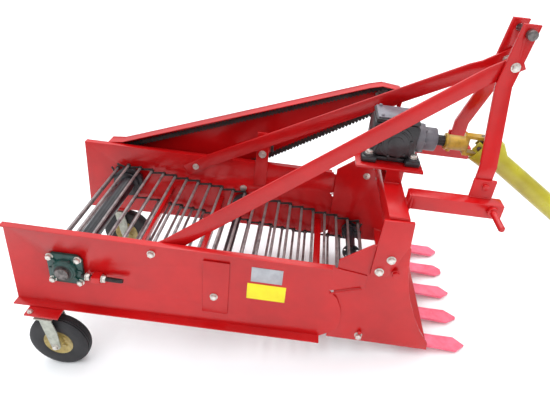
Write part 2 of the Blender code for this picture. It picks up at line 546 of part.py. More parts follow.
def yoke(name, place, hub_r, length, carrier):
    """Forked yoke: Z of its place points to the cross at its origin, and X is the cross pin."""
    base = turned(name, [(-length, hub_r), (-0.050, hub_r)], 24, place, YELLOW, carrier)
    fuse(base, plate(name + "_fork", [FORK], 0.032, place @ Matrix.Rotation(pi / 2, 4, 'X'),
                     carrier=carrier))
    ends = (place @ Vector((-0.05, 0, 0)), place @ Vector((0.05, 0, 0)))
    return cut(base, rod(name + "_eye", *ends, EYE_R, 14, carrier=carrier))


def cross(name, carrier, pins):
    """Universal joint cross: two pins at right angles."""
    first, second = (Vector(p) * ARM_OUT for p in pins)
    body = rod(name, -first, first, EYE_R - GAP, 14, STEEL, carrier)
    return fuse(body, rod(name + "_arm", -second, second, EYE_R - GAP, 14, carrier=carrier))


joint = (JOINT_X, 0, JOINT_Z)
lead = yoke("input_yoke", stand(joint, (1, 0, 0), (0, 0, 1)), 0.024, 0.118, parked)
fuse(lead, rod("input_stub", (1.3005, 0, BOX_Z), (1.375, 0, BOX_Z), STUB_R, 24))
swing = axle("shaft_swing", Matrix.Translation(joint) @ Matrix.Rotation(SHAFT_SWING, 4, 'Z'), parked)
cross("driveshaft_cross", swing, ((0, 0, 1), (0, 1, 0)))
aim = axle("shaft_aim", stand((0, 0, 0), (cos(SHAFT_DROP), 0, -sin(SHAFT_DROP)), (0, 1, 0)), swing)
outer = yoke("driveshaft_tube", stand((0, 0, 0), (0, 0, -1), (1, 0, 0)), 0.022, 0.100, aim)
INNER_R = TUBE_R - 0.0045
BELL_R = 0.056           # guard bell, with its mouth round the joint
bell = [(0.080, TUBE_R), (0.048, BELL_R - 0.004), (0, BELL_R), (0, BELL_R - 0.003),
        (0.046, BELL_R - 0.007)]
fuse(outer, turned("outer_tube", [(0.112, INNER_R + 0.0005), (0.560, INNER_R + 0.0005),
                                  (0.560, TUBE_R)] + bell, 24, Matrix(), carrier=aim))
slide = axle("shaft_slide", Matrix.Translation((0, 0, SHAFT_LEN)), aim)
inner = yoke("driveshaft_inner", Matrix.Rotation(0, 4, 'Z'), 0.022, 0.100, slide)
fuse(inner, turned("inner_tube", [(0.300 - SHAFT_LEN, INNER_R), (-0.200, INNER_R),
                                  (-0.200, TUBE_R)] + [(-d, r) for d, r in bell], 24, Matrix(),
                   carrier=slide))
cross("driveshaft_end_cross", slide, ((1, 0, 0), (0, 1, 0)))
HUB_END, SPLINE_R = 0.088, 0.0175        # tractor-end hub and its splined bore
tail = yoke("driveshaft_end_yoke", stand((0, 0, 0), (0, 0, -1), (0, 1, 0)), 0.029, HUB_END, slide)
cut(tail, rod("spline_bore", (0, 0, HUB_END - 0.032), (0, 0, HUB_END + 0.02), SPLINE_R, 24,
              carrier=slide))
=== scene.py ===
"""A single-row potato harvester, parked on its casters and share points."""
import json
from math import cos, pi, radians, sin

import bpy
from mathutils import Matrix, Vector


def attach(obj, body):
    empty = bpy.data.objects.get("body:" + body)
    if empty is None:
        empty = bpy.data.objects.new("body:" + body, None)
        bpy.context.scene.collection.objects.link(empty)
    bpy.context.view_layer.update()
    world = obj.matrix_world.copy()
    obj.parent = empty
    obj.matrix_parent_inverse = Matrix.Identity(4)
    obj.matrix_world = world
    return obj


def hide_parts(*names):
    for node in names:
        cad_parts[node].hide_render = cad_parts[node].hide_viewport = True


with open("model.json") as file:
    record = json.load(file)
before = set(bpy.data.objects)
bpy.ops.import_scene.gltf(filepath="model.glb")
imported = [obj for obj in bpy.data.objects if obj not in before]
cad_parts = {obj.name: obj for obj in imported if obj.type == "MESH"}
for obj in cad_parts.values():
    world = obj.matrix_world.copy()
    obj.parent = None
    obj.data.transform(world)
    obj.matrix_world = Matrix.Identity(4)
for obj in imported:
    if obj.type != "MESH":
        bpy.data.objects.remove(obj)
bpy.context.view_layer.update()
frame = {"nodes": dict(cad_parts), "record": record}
bpy.ops.object.select_all(action='DESELECT')
bodies = frame["record"]["behaviour"]["bodies"]

# ---- Stance ----
# The harvester is drawn level, along its side panels, and leaned nose-down on to its casters
# and share points, so every new piece is drawn level and then settled into that lean.
LEAN, BACK, FLOOR = radians(10.4262), -1.09456, 0.58258
parked = Matrix.Translation((BACK, 0.0, FLOOR)) @ Matrix.Rotation(LEAN, 4, 'Y')

# ---- Camera, light and floor ----
# A hand-held view from the right and above, soft light from overhead and from the front right,
# a sky-like dome that is brightest at the top, and a floor of white studio paper.
cam_data = bpy.data.cameras.new("camera")
cam_data.lens = 32.319
cam_data.sensor_width = 36.0
cam = bpy.data.objects.new("camera", cam_data)
bpy.context.collection.objects.link(cam)
right = Vector((0.99124, 0.09618, 0.09049))
down = Vector((0.12764, -0.52119, -0.84385))
look = Vector((-0.03395, 0.84799, -0.52892))
cam.matrix_world = (parked @ Matrix.Translation((0.89967, -1.51235, 0.93710))
                    @ Matrix((right, -down, -look)).transposed().to_4x4())
bpy.context.scene.camera = cam
bpy.context.scene.view_settings.view_transform = 'Standard'


def hexa(code):
    """sRGB hex to the linear colour that a shader takes."""
    out = []
    for i in (0, 2, 4):
        v = int(code[i:i + 2], 16) / 255
        out.append(v / 12.92 if v <= 0.04045 else ((v + 0.055) / 1.055) ** 2.4)
    return (*out, 1.0)


def add(tree, kind, settings, links):
    """Adds a node, sets its inputs or properties, and links its inputs from other sockets."""
    node = tree.nodes.new(kind)
    for key, value in settings.items():
        if key in node.inputs:
            node.inputs[key].default_value = value
        else:
            setattr(node, key, value)
    for key, socket in links.items():
        tree.links.new(socket, node.inputs[key])
    return node


def finish(name, base, worn, rough, metal=0.0, patch=0.12, grit=0.002, bump=0.1, coat=0.0):
    """A finish in two tones that drift over patches, with fine grit; sizes are in metres."""
    mat = bpy.data.materials.new(name)
    mat.use_nodes = True
    tree = mat.node_tree
    shader = tree.nodes["Principled BSDF"]
    shader.inputs["Metallic"].default_value = metal
    shader.inputs["Coat Weight"].default_value = coat
    shader.inputs["Coat Roughness"].default_value = 0.10
    place = add(tree, "ShaderNodeTexCoord", {}, {}).outputs["Object"]
    drift = add(tree, "ShaderNodeTexNoise", {"Scale": 1 / patch, "Detail": 6.0, "Roughness": 0.62},
                {"Vector": place})
    tones = add(tree, "ShaderNodeValToRGB", {}, {"Fac": drift.outputs["Fac"]})
    for stop, at, tone in zip(tones.color_ramp.elements, (0.38, 0.68), (base, worn)):
        stop.position = at
        stop.color = hexa(tone)
    tree.links.new(tones.outputs["Color"], shader.inputs["Base Color"])
    gloss = add(tree, "ShaderNodeMapRange", {"To Min": rough * 0.8, "To Max": rough * 1.2},
                {"Value": drift.outputs["Fac"]})
    tree.links.new(gloss.outputs["Result"], shader.inputs["Roughness"])
    grain = add(tree, "ShaderNodeTexNoise", {"Scale": 1 / grit, "Detail": 3.0}, {"Vector": place})
    relief = add(tree, "ShaderNodeBump", {"Strength": bump, "Distance": grit / 4},
                 {"Height": grain.outputs["Fac"]})
    tree.links.new(relief.outputs["Normal"], shader.inputs["Normal"])
    return mat


sky = bpy.data.worlds.new("studio_dome")
bpy.context.scene.world = sky
sky.use_nodes = True
dome = sky.node_tree
up = add(dome, "ShaderNodeSeparateXYZ", {},
         {"Vector": add(dome, "ShaderNodeTexCoord", {}, {}).outputs["Generated"]})
glow = add(dome, "ShaderNodeMapRange", {"From Min": 0.10, "From Max": 0.75, "To Min": 0.30,
                                        "To Max": 1.75}, {"Value": up.outputs["Z"]})
dome.nodes["Background"].inputs["Color"].default_value = (0.94, 0.97, 1.0, 1.0)
dome.links.new(glow.outputs["Result"], dome.nodes["Background"].inputs["Strength"])
for label, at, size, power in (("overhead", (0.3, 0.9, 3.4), 2.6, 40),
                               ("front", (1.4, -2.8, 2.2), 2.2, 12)):
    bpy.ops.object.light_add(type='AREA', location=at)
    lamp = bpy.context.object
    lamp.name = label
    lamp.data.size = size
    lamp.data.energy = power
    lamp.rotation_euler = (Vector((0, 0, 0.4)) - Vector(at)).to_track_quat('-Z', 'Y').to_euler()

bpy.ops.mesh.primitive_plane_add(size=60, location=(0, 0, 0))
paper = bpy.context.object
paper.name = "studio_floor"
paper.data.materials.append(finish("white_paper", "fbfbfb", "ffffff", 0.95, patch=3.0, bump=0.0))

# ---- Sheet and bar work: panels, cheeks, beam, hitch, mast, stays, share and guard ----
# Laser-cut and folded mild steel, welded and bolted, then sprayed with glossy red enamel.
# Every cut edge is broken by a grinder, so each solid is copied with its edges eased.
# Sprayed enamel: deep and glossy, faint orange peel, duller and darker where dust has settled.
red = finish("sprayed_red_enamel", "c20d10", "ab090c", 0.24, patch=0.22, grit=0.0035, bump=0.06,
             coat=0.0)

# Red enamel on the share points, painted a patchy pale rose all over: a painted reflection of the
# bright sky on the faces they turn up to it.
sky_sheen_pink = finish("painted_sky_sheen_enamel", "f0708a", "e8506a", 0.26, patch=0.05, grit=0.003, bump=0.15)


def body_of(node):
    return next(body for body, nodes in bodies.items() if node in nodes)


def dress(node, mat, ease=0.0009):
    """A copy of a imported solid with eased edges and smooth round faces, in its real finish."""
    old = frame["nodes"][node]
    piece = old.copy()
    piece.data = old.data.copy()
    piece.name = node + "_finished"
    bpy.context.collection.objects.link(piece)
    bpy.ops.object.select_all(action='DESELECT')
    bpy.context.view_layer.objects.active = piece
    piece.select_set(True)
    bpy.ops.object.mode_set(mode='EDIT')
    bpy.ops.mesh.select_all(action='SELECT')
    bpy.ops.mesh.remove_doubles(threshold=0.00002)
    bpy.ops.mesh.dissolve_limited(angle_limit=radians(0.5))
    bpy.ops.object.mode_set(mode='OBJECT')
    eased = piece.modifiers.new("eased", 'BEVEL')
    eased.width = ease
    eased.segments = 2
    eased.limit_method = 'ANGLE'
    eased.angle_limit = radians(40)
    bpy.ops.object.modifier_apply(modifier="eased")
    bpy.ops.object.shade_smooth_by_angle(angle=radians(32))
    piece.parent = None
    piece.data.materials.clear()
    piece.data.materials.append(mat)
    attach(piece, body_of(node))
    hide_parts(node)
    piece.select_set(False)
    return piece


SIDES = ((-1, "right"), (1, "left"))
for hand in ("right", "left"):
    for node in ("side_panel_", "cheek_", "leg_plate_", "drawbar_", "hitch_pin_", "mast_leg_",
                 "stay_", "roller_pad_", "caster_plate_"):
        dress(node + hand, red)
for node in ("main_cross_beam", "share_blade", "cross_member_rear", "cross_member_middle",
             "cross_member_front", "gearbox_platform", "chain_guard", "tensioner"):
    dress(node, red)
for k in range(1, 6):
    # The share points take the pale rose of a painted sky reflection instead of plain red enamel.
    dress("share_point_%d" % k, sky_sheen_pink, 0.0016)


def joined(pieces, name):
    """One object from several, with its place in its mesh."""
    bpy.ops.object.select_all(action='DESELECT')
    for piece in pieces:
        piece.select_set(True)
    bpy.context.view_layer.objects.active = pieces[0]
    if len(pieces) > 1:
        bpy.ops.object.join()
    bpy.ops.object.transform_apply(location=True, rotation=True, scale=True)
    one = bpy.context.object
    one.name = name
    one.select_set(False)
    return one


def settle(pieces, name, body, slot, mat, *nodes):
    """Leans finished pieces with the machine, as one object fixed to the body that carries it."""
    one = joined(pieces, name)
    one.data.transform(parked)
    one.data.materials.clear()
    one.data.materials.append(mat)
    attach(one, body)
    if nodes:
        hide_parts(*nodes)
    return one


def shaped(piece, ease, smooth=38):
    """Finishes a primitive in hand: its scale applied, its edges eased, round faces smooth."""
    bpy.ops.object.transform_apply(location=False, rotation=False, scale=True)
    if ease:
        eased = piece.modifiers.new("eased", 'BEVEL')
        eased.width = ease
        eased.segments = 2
        eased.limit_method = 'ANGLE'
        eased.angle_limit = radians(42)
        bpy.ops.object.modifier_apply(modifier="eased")
    bpy.ops.object.shade_smooth_by_angle(angle=radians(smooth))
    return piece


def bar(a, b, r, sides=16, ease=0.0, r_end=None):
    """A round or polygonal bar from a to b, which may taper."""
    a, b = Vector(a), Vector(b)
    turn = (b - a).to_track_quat('Z', 'Y').to_euler()
    r_end = r if r_end is None else r_end
    bpy.ops.mesh.primitive_cone_add(vertices=sides, radius1=r, radius2=r_end,
                                    depth=(b - a).length, location=(a + b) / 2, rotation=turn)
    return shaped(bpy.context.object, ease)


def block(centre, size, ease=0.001, turn=0.0):
    """A rectangular block, which may be turned about the machine's cross axis."""
    bpy.ops.mesh.primitive_cube_add(size=1, location=centre, rotation=(0, turn, 0))
    bpy.context.object.scale = size
    return shaped(bpy.context.object, ease)


def weld(a, b, width=0.006):
    """A weld bead: overlapping flattened drops along a seam."""
    a, b = Vector(a), Vector(b)
    bpy.ops.mesh.primitive_uv_sphere_add(segments=8, ring_count=5, radius=width / 2, location=a,
                                         rotation=(b - a).to_track_quat('X', 'Z').to_euler())
    bead = bpy.context.object
    run = bead.modifiers.new("run", 'ARRAY')
    run.use_relative_offset = False
    run.use_constant_offset = True
    run.constant_offset_displace = (width * 0.55, 0, 0)
    run.count = int((b - a).length / (width * 0.55))
    bpy.ops.object.modifier_apply(modifier="run")
    bpy.ops.object.shade_smooth()
    return bead


# Faces of the sheets, out from the middle: panel outside and inside, cheek, leg plate.
PANEL, INSIDE, CHEEK, LEG = 0.310, 0.306, 0.3057, 0.318
seams = []
for s, hand in SIDES:
    seams += [weld((1.056, s * LEG * 0.985, -0.1075), (1.150, s * LEG * 0.985, -0.0735), 0.006),
              weld((1.2412, s * 0.181, 0.1955), (1.2412, s * 0.227, 0.1955)),
              weld((1.248, s * 0.1795, 0.190), (1.248, s * 0.1795, 0.230)),
              weld((1.248, s * 0.2285, 0.190), (1.248, s * 0.2285, 0.230)),
              weld((1.422, s * 0.1905, 0.2335), (1.486, s * 0.1905, 0.2335)),
              weld((1.182, s * 0.303, 0.1965), (1.238, s * 0.303, 0.1965)),
              weld((1.186, s * 0.0965, 0.1965), (1.234, s * 0.0965, 0.1965)),
              weld((1.266, s * 0.2955, -0.2400), (1.400, s * 0.2955, -0.2830))]
settle(seams, "weld_beads", "frame", "red_enamel", red)

# Small folded gussets inside the cheeks, under the cross beam, and pads behind the lower bolts.
lips = []
for s, hand in SIDES:
    lips += [block((1.2130, s * 0.288, 0.128), (0.050, 0.018, 0.006), 0.0015),
             block((1.2380, s * 0.289, 0.104), (0.005, 0.016, 0.046), 0.0015, -0.25),
             bar((1.176, s * CHEEK, -0.262), (1.176, s * (CHEEK + 0.009), -0.262),
                 0.007, 14, 0.002)]
settle(lips, "gussets", "frame", "red_enamel", red)

# ---- Web conveyor ----
# Round steel rods whose hooked ends link into side chains, one endless loop over the rear drive
# drum, the support roller and the front roller.  Bare steel, scuffed bright on the rods.
# Scuffed steel: grey-brown and satin, with bright rubbed streaks.
rod_steel = finish("scuffed_rod_steel", "9a8e8c", "63585a", 0.34, metal=0.40, patch=0.035,
                   grit=0.0016, bump=0.25)
chain_steel = finish("oiled_chain_steel", "3a3433", "1d1a1a", 0.40, metal=0.4, patch=0.02,
                     grit=0.0016, bump=0.25)
SHAFT, NOSE = (0.195, -0.148), (1.160, -0.252)     # roller axes (x, z)


def path_round(run, steps=16):
    """A closed path round wheels (x, z, radius, from angle, to angle) and plain points."""
    out = []
    for x, z, *arc in run:
        turns = [arc[1] + (arc[2] - arc[1]) * k / steps for k in range(steps + 1)] if arc else []
        out += [Vector((x + arc[0] * cos(radians(a)), z + arc[0] * sin(radians(a)))) for a in turns]
        if not arc:
            out.append(Vector((x, z)))
    return out


def spaced(path, count):
    """Evenly spaced points along a closed path."""
    spans = list(zip(path, path[1:] + path[:1]))
    pitch = sum((b - a).length for a, b in spans) / count
    out, start = [], 0.0
    for a, b in spans:
        while len(out) < count and (len(out) + 0.5) * pitch <= start + (b - a).length:
            out.append(a.lerp(b, ((len(out) + 0.5) * pitch - start) / (b - a).length))
        start += (b - a).length
    return out


web_path = path_round(((*SHAFT, 0.072, 270, 82), (0.684, -0.137), (*NOSE, 0.046, 80, -93),
                       (0.900, -0.2925), (0.620, -0.2670), (0.360, -0.2380)))
pins = spaced(web_path, 46)
rods, links = [], []
for k, (p, q) in enumerate(zip(pins, pins[1:] + pins[:1])):
    rods.append(bar((p.x, -0.2915, p.y), (p.x, 0.2915, p.y), 0.0055, 12, 0.0012))
    middle, turn = (p + q) / 2, -Vector((1, 0)).angle_signed(q - p)
    for s, hand in SIDES:
        away = 0.2850 if k % 2 else 0.2790
        links += [block((middle.x, s * away, middle.y), ((q - p).length + 0.008, 0.0045, 0.0085),
                        0.0012, turn),
                  bar((p.x, s * 0.2755, p.y), (p.x, s * 0.2885, p.y), 0.0085, 12, 0.0012)]
settle(rods, "web_rods", "frame", "web_steel", rod_steel)
settle(links, "web_side_chains", "frame", "web_steel", chain_steel, "web_conveyor")

# ---- Rollers of the web ----
# Turned steel drums on shafts, painted semi-gloss black: toothed wheels at the ends of the rear
# drum drive the rods, and the front roller is a tube with drilled star plates.
# Semi-gloss black paint, faintly blue where it reflects, dusty in patches.
black = finish("semi_gloss_black", "17181b", "2e2f34", 0.30, patch=0.05, grit=0.002, bump=0.12,
               coat=0.15)
dress("drive_shaft", black)
dress("support_roller", black)
teeth = []
for s, hand in SIDES:
    for k in range(10):
        a = pi - 0.33 + 2 * pi * k / 9.42
        if k < 9:
            teeth.append(block((SHAFT[0] + 0.0585 * cos(a), s * 0.281, SHAFT[1] + 0.0585 * sin(a)),
                               (0.0125, 0.0215, 0.011), 0.0025, -a))
    for r, y in ((0.040, 0.268), (0.046, 0.262)):
        teeth.append(bar((SHAFT[0], s * (y - 0.006), SHAFT[1]), (SHAFT[0], s * y, SHAFT[1]), r, 28,
                         0.0015))
settle(teeth, "drive_teeth", "frame", "black_paint", black)
tube = [bar((NOSE[0], -0.296, NOSE[1]), (NOSE[0], 0.296, NOSE[1]), 0.019, 24, 0.001)]
for y in (-0.284, -0.256, -0.120, 0.0, 0.120, 0.256, 0.284):
    star = bar((NOSE[0], y - 0.003, NOSE[1]), (NOSE[0], y + 0.003, NOSE[1]), 0.0345, 36, 0.0008)
    for k in range(5):
        a = 2 * pi * (k + 0.3) / 5
        hole = bar((NOSE[0] + 0.0265 * cos(a), y - 0.01, NOSE[1] + 0.0265 * sin(a)),
                   (NOSE[0] + 0.0265 * cos(a), y + 0.01, NOSE[1] + 0.0265 * sin(a)), 0.0052, 14)
        bore = star.modifiers.new("bore", 'BOOLEAN')
        bore.operation = 'DIFFERENCE'
        bore.object = hole
        bpy.context.view_layer.objects.active = star
        bpy.ops.object.modifier_apply(modifier="bore")
        bpy.data.objects.remove(hole)
    tube.append(star)
settle(tube, "front_roller_stars", "frame", "black_paint", black, "front_roller")

# ---- Bearings and take-up screws ----
# Cast-iron flange bearings in dark green enamel on the outside of the panels, with an eccentric
# collar on the shaft, and behind each a red lug with a threaded rod that sets the web's tension.
green = finish("green_casting_enamel", "174640", "0e302b", 0.34, patch=0.03, grit=0.0022,
               bump=0.35, coat=0.1)
# Ground shaft end: grey steel, smeared with grease.
shaft_steel = finish("greasy_ground_steel", "7d7674", "3b3635", 0.30, metal=0.7, patch=0.012,
                     grit=0.0015, bump=0.15)
# Bright zinc on bolts, nuts and washers, slightly clouded.
zinc = finish("bright_zinc", "dcd7d0", "b3ada5", 0.30, metal=0.8, patch=0.008, grit=0.0012,
              bump=0.10)
for s, hand in SIDES:
    dress("bearing_" + hand, green, 0.0016)
    at = s * (PANEL + 0.0003)
    ribs = [bar((SHAFT[0], at + s * 0.010, SHAFT[1]), (SHAFT[0], at + s * 0.027, SHAFT[1]), 0.0435,
                36, 0.003, 0.0385)]
    for k in range(4):
        a = pi / 4 + pi / 2 * k
        ribs.append(block((SHAFT[0] + 0.049 * cos(a), at + s * 0.0125, SHAFT[1] + 0.049 * sin(a)),
                          (0.026, 0.010, 0.009), 0.0025, -a))
    ribs.append(block((SHAFT[0], at + s * 0.0125, SHAFT[1]), (0.108, 0.006, 0.006), 0.002))
    settle(ribs, "bearing_ribs_" + hand, "frame", "bearing_green", green)
    collar = [bar((SHAFT[0], at + s * 0.024, SHAFT[1]), (SHAFT[0], at + s * 0.0335, SHAFT[1]),
                  0.029, 32, 0.0015),
              bar((SHAFT[0] + 0.018, at + s * 0.012, SHAFT[1] + 0.036),
                  (SHAFT[0] + 0.022, at + s * 0.024, SHAFT[1] + 0.044), 0.0032, 10, 0.0006)]
    settle(collar, "locking_collar_" + hand, "frame", "black_paint", chain_steel)
    end = [bar((SHAFT[0], at + s * 0.030, SHAFT[1]), (SHAFT[0], at + s * 0.0425, SHAFT[1]), 0.0225,
               32, 0.0018),
           bar((SHAFT[0], at + s * 0.042, SHAFT[1]), (SHAFT[0], at + s * 0.0432, SHAFT[1]),
               0.006, 16, 0.0004)]
    settle(end, "shaft_end_" + hand, "frame", "web_steel", shaft_steel)
    z, y = SHAFT[1] - 0.012, at + s * 0.020
    settle([block((0.302, at + s * 0.018, z), (0.030, 0.036, 0.024), 0.003)], "takeup_lug_" + hand,
           "frame", "red_enamel", red, "takeup_" + hand)
    thread = [bar((0.250, y, z), (0.388, y, z), 0.0068, 14, 0.001)]
    thread += [bar((x, y, z), (x + 0.0016, y, z), 0.0080, 12, 0.0, 0.0069)
               for x in [0.334 + 0.0024 * k for k in range(21)]]
    settle(thread, "takeup_thread_" + hand, "frame", "web_steel", chain_steel)
    nuts = []
    for x in (0.268, 0.321):
        nuts += [bar((x, y, z), (x + 0.012, y, z), 0.0135, 6, 0.0016),
                 bar((x - 0.002 if x < 0.3 else x - 0.0022, y, z), (x, y, z), 0.0145, 20, 0.0003)]
    settle(nuts, "takeup_nuts_" + hand, "frame", "zinc", zinc)

# ---- Bolts ----
# Zinc-plated hexagon bolts with plain washers wherever plates are fixed together; a shallow
# dished face shows on each head, and one in each leg plate was painted over.


def hex_bolt(at, facing, across=0.019, thick=0.008):
    at, facing = Vector(at), Vector(facing)
    return [bar(at, at + facing * 0.002, across * 0.70, 20, 0.0004),
            bar(at + facing * 0.0015, at + facing * (0.002 + thick), across * 0.577, 6, 0.0011),
            bar(at + facing * 0.004, at + facing * (0.0028 + thick), across * 0.40, 16, 0.0006)]


bolts, painted = [], []
for s, hand in SIDES:
    out, into = (0, s, 0), (0, -s, 0)
    bolts += hex_bolt((0.479, s * PANEL, -0.048), out)
    bolts += hex_bolt((0.479, s * (INSIDE - 0.0083), -0.048), into)
    bolts += hex_bolt((0.684, s * (PANEL + 0.0053), -0.186), out)
    bolts += hex_bolt((0.684, s * INSIDE, -0.127), into, 0.021)
    for x in (-0.0464, 0.0464):
        for z in (-0.0464, 0.0464):
            bolts += hex_bolt((SHAFT[0] + x, s * (PANEL + 0.0123), SHAFT[1] + z), out, 0.018, 0.010)
    for x, z in ((1.2136, 0.056), (1.187, 0.007)):
        bolts += hex_bolt((x, s * (CHEEK + 0.0123), z), out, 0.020)
        bolts += hex_bolt((x, s * (CHEEK - 0.008), z), into, 0.020)
    painted += hex_bolt((1.237, s * (CHEEK + 0.0123), 0.006), out, 0.020)
    bolts += hex_bolt((1.237, s * (CHEEK - 0.008), 0.006), into, 0.020)
    bolts += hex_bolt((1.175, s * CHEEK, -0.279), out, 0.019, 0.012)
    painted += hex_bolt((1.4573, s * 0.1893, 0.2726), out, 0.018)
    bolts += hex_bolt((1.480, s * 0.0520, 0.5885), out, 0.020, 0.009)
    bolts += hex_bolt((1.480, s * 0.0313, 0.5885), into, 0.020, 0.009)
    bolts += hex_bolt((0.072, s * 0.368, -0.3167), (0, 0, 1), 0.014, 0.006)
bolts += hex_bolt((0.754, INSIDE - 0.0083, 0.047), (0, -1, 0), 0.023, 0.010)
settle(bolts, "bolts_and_nuts", "frame", "zinc", zinc)
settle(painted, "painted_bolts", "frame", "red_enamel", red)
dress("top_link_pin", shaft_steel)
slot = [block((0.790, INSIDE - 0.004, 0.075), (0.012, 0.010, 0.030), 0.003)]
settle(slot, "tensioner_slot", "frame", "web_steel", chain_steel)

# ---- Plates on the right panel ----
# A thin anodised plate and a yellow vinyl label, both left blank.
silver = finish("anodised_plate", "aeb0b4", "9a9ba0", 0.34, metal=0.6, patch=0.03, grit=0.001,
                bump=0.05)
vinyl = finish("yellow_vinyl", "f2e20c", "e6d608", 0.38, patch=0.05, grit=0.001, bump=0.02)
settle([block((0.850, -0.3105, -0.075), (0.100, 0.0011, 0.058), 0.0003)]
       + [bar((x, -0.3105, z), (x, -0.3118, z), 0.0026, 12, 0.0006)
          for x in (0.805, 0.895) for z in (-0.098, -0.052)],
       "silver_plate", "frame", "zinc", silver)
settle([block((0.8525, -0.3103, -0.145), (0.125, 0.0008, 0.064), 0.0003)], "yellow_label", "frame",
       "guard_yellow", vinyl)

# ---- Gearbox ----
# A grey iron right-angle gearbox on four feet: a bolted top lid with turned-down edges, round
# stepped side covers, and a stepped input snout.
# Painted sand casting: dark grey, grainy, slightly glossy.
cast = finish("painted_iron_casting", "2e2b2e", "1e1d1f", 0.38, patch=0.03, grit=0.0030, bump=0.5,
              coat=0.08)
lid_steel = finish("pressed_lid", "827d85", "625e66", 0.28, patch=0.05, grit=0.002, bump=0.15)
snout_iron = finish("machined_snout", "6c696e", "56535a", 0.42, metal=0.15, patch=0.03,
                    grit=0.002, bump=0.25)
BOX = (1.196, 0.322)     # output axis (x, z)
iron = [block((1.193, 0, 0.324), (0.150, 0.122, 0.118), 0.020),
        block((1.193, 0, 0.2565), (0.176, 0.104, 0.015), 0.004),
        block((1.193, 0, 0.3865), (0.136, 0.118, 0.012), 0.004)]
for x, lean in ((1.123, 0.25), (1.262, -0.25)):
    for s, hand in SIDES:
        iron += [block((x, s * 0.055, 0.2590), (0.050, 0.044, 0.021), 0.007),
                 bar((x, s * 0.057, 0.262), (x, s * 0.057, 0.275), 0.019, 20, 0.003),
                 block((x + (0.014 if x < 1.2 else -0.014), s * 0.052, 0.290),
                       (0.012, 0.022, 0.060), 0.004, lean)]
for s, hand in SIDES:
    for r, y in ((0.0525, 0.0680), (0.0440, 0.0735), (0.0400, 0.0775), (0.0250, 0.0795)):
        iron.append(bar((BOX[0], 0, BOX[1]), (BOX[0], s * y, BOX[1]), r, 44, 0.0018))
    for k in range(6):
        a = pi / 3 * k + 0.2
        x, z = BOX[0] + 0.0478 * cos(a), BOX[1] + 0.0478 * sin(a)
        iron.append(bar((x, s * 0.066, z), (x, s * 0.0735, z), 0.0050, 6, 0.0008))
    iron.append(block((BOX[0], s * 0.062, 0.272), (0.030, 0.012, 0.020), 0.004))
settle(iron, "gearbox_housing", "frame", "cast_grey", cast, "gearbox")
lid = [block((1.193, 0, 0.3955), (0.124, 0.106, 0.0045), 0.0015),
       block((1.1315, 0, 0.3900), (0.003, 0.104, 0.014), 0.001),
       block((1.2545, 0, 0.3900), (0.003, 0.104, 0.014), 0.001)]
lid += [bar((x, y, 0.397), (x, y, 0.4035), 0.0055, 6, 0.0008)
        for x in (1.143, 1.243) for y in (-0.044, 0.044)]
settle(lid, "gearbox_lid", "frame", "cast_grey", lid_steel)
snout = [bar((1.264, 0, BOX[1]), (1.288, 0, BOX[1]), 0.0470, 40, 0.002),
         bar((1.286, 0, BOX[1]), (1.330, 0, BOX[1]), 0.0375, 40, 0.003),
         bar((1.329, 0, BOX[1]), (1.3335, 0, BOX[1]), 0.0270, 32, 0.001)]
for k in range(6):
    y, z = 0.0415 * cos(pi / 3 * k), BOX[1] + 0.0415 * sin(pi / 3 * k)
    snout.append(bar((1.286, y, z), (1.2935, y, z), 0.005, 6, 0.0008))
settle(snout, "gearbox_snout", "frame", "cast_grey", snout_iron)
feet = []
for x in (1.123, 1.262):
    for s, hand in SIDES:
        feet += hex_bolt((x, s * 0.057, 0.275), (0, 0, 1), 0.020, 0.009)
settle(feet, "gearbox_bolts", "frame", "zinc", zinc)
dress("output_shaft", shaft_steel)

# ---- Drive chain and sprockets ----
# A single-strand roller chain in the guard, two rows of link plates on pins, which runs from the
# gearbox's small sprocket round the big one on the web's drive shaft and under the tensioner.
CHAIN_Y = 0.356     # middle of the chain


def sprocket(centre, r, count, name, node=None):
    """A toothed wheel whose teeth stand between the chain's pins."""
    x, z = centre
    wheel = [bar((x, CHAIN_Y - 0.0035, z), (x, CHAIN_Y + 0.0035, z), r - 0.004, 60, 0.0006)]
    for k in range(count):
        a = 2 * pi * k / count
        wheel.append(block((x + (r - 0.003) * cos(a), CHAIN_Y, z + (r - 0.003) * sin(a)),
                           (0.009, 0.0062, 0.0055), 0.0012, -a))
    wheel.append(bar((x, CHAIN_Y - 0.012, z), (x, CHAIN_Y + 0.012, z), 0.028, 28, 0.002))
    nodes = (node,) if node else ()
    settle(wheel, name, "frame", "web_steel", shaft_steel, *nodes)


sprocket(SHAFT, 0.126, 52, "driven_sprocket_toothed", "driven_sprocket")
sprocket(BOX, 0.036, 16, "drive_sprocket_toothed")
loop = path_round(((*SHAFT, 0.130, 299, 111), (*BOX, 0.040, 111, -61), (0.7724, 0.0138)), 20)
stops = spaced(loop, 192)
chain = []
for k, (p, q) in enumerate(zip(stops, stops[1:] + stops[:1])):
    middle, turn = (p + q) / 2, -Vector((1, 0)).angle_signed(q - p)
    for s, hand in SIDES:
        chain.append(block((middle.x, CHAIN_Y + s * (0.0058 if k % 2 else 0.0042), middle.y),
                           ((q - p).length + 0.007, 0.0013, 0.0110), 0.0, turn))
    chain.append(bar((p.x, CHAIN_Y - 0.0068, p.y), (p.x, CHAIN_Y + 0.0068, p.y), 0.0042, 8))
settle(chain, "roller_chain", "frame", "web_steel", chain_steel, "drive_chain")

# ---- Casters ----
# Air-filled rubber tyres on small pressed-steel rims, in zinc-plated forks that swivel under the
# panels.  The tread has grooves round it, and dust greys it.
rubber = finish("black_rubber", "161518", "29272a", 0.60, patch=0.03, grit=0.0015, bump=0.25)
cream = finish("cream_rim_paint", "bfa96a", "927f4b", 0.36, metal=0.2, patch=0.02, grit=0.002,
               bump=0.15)
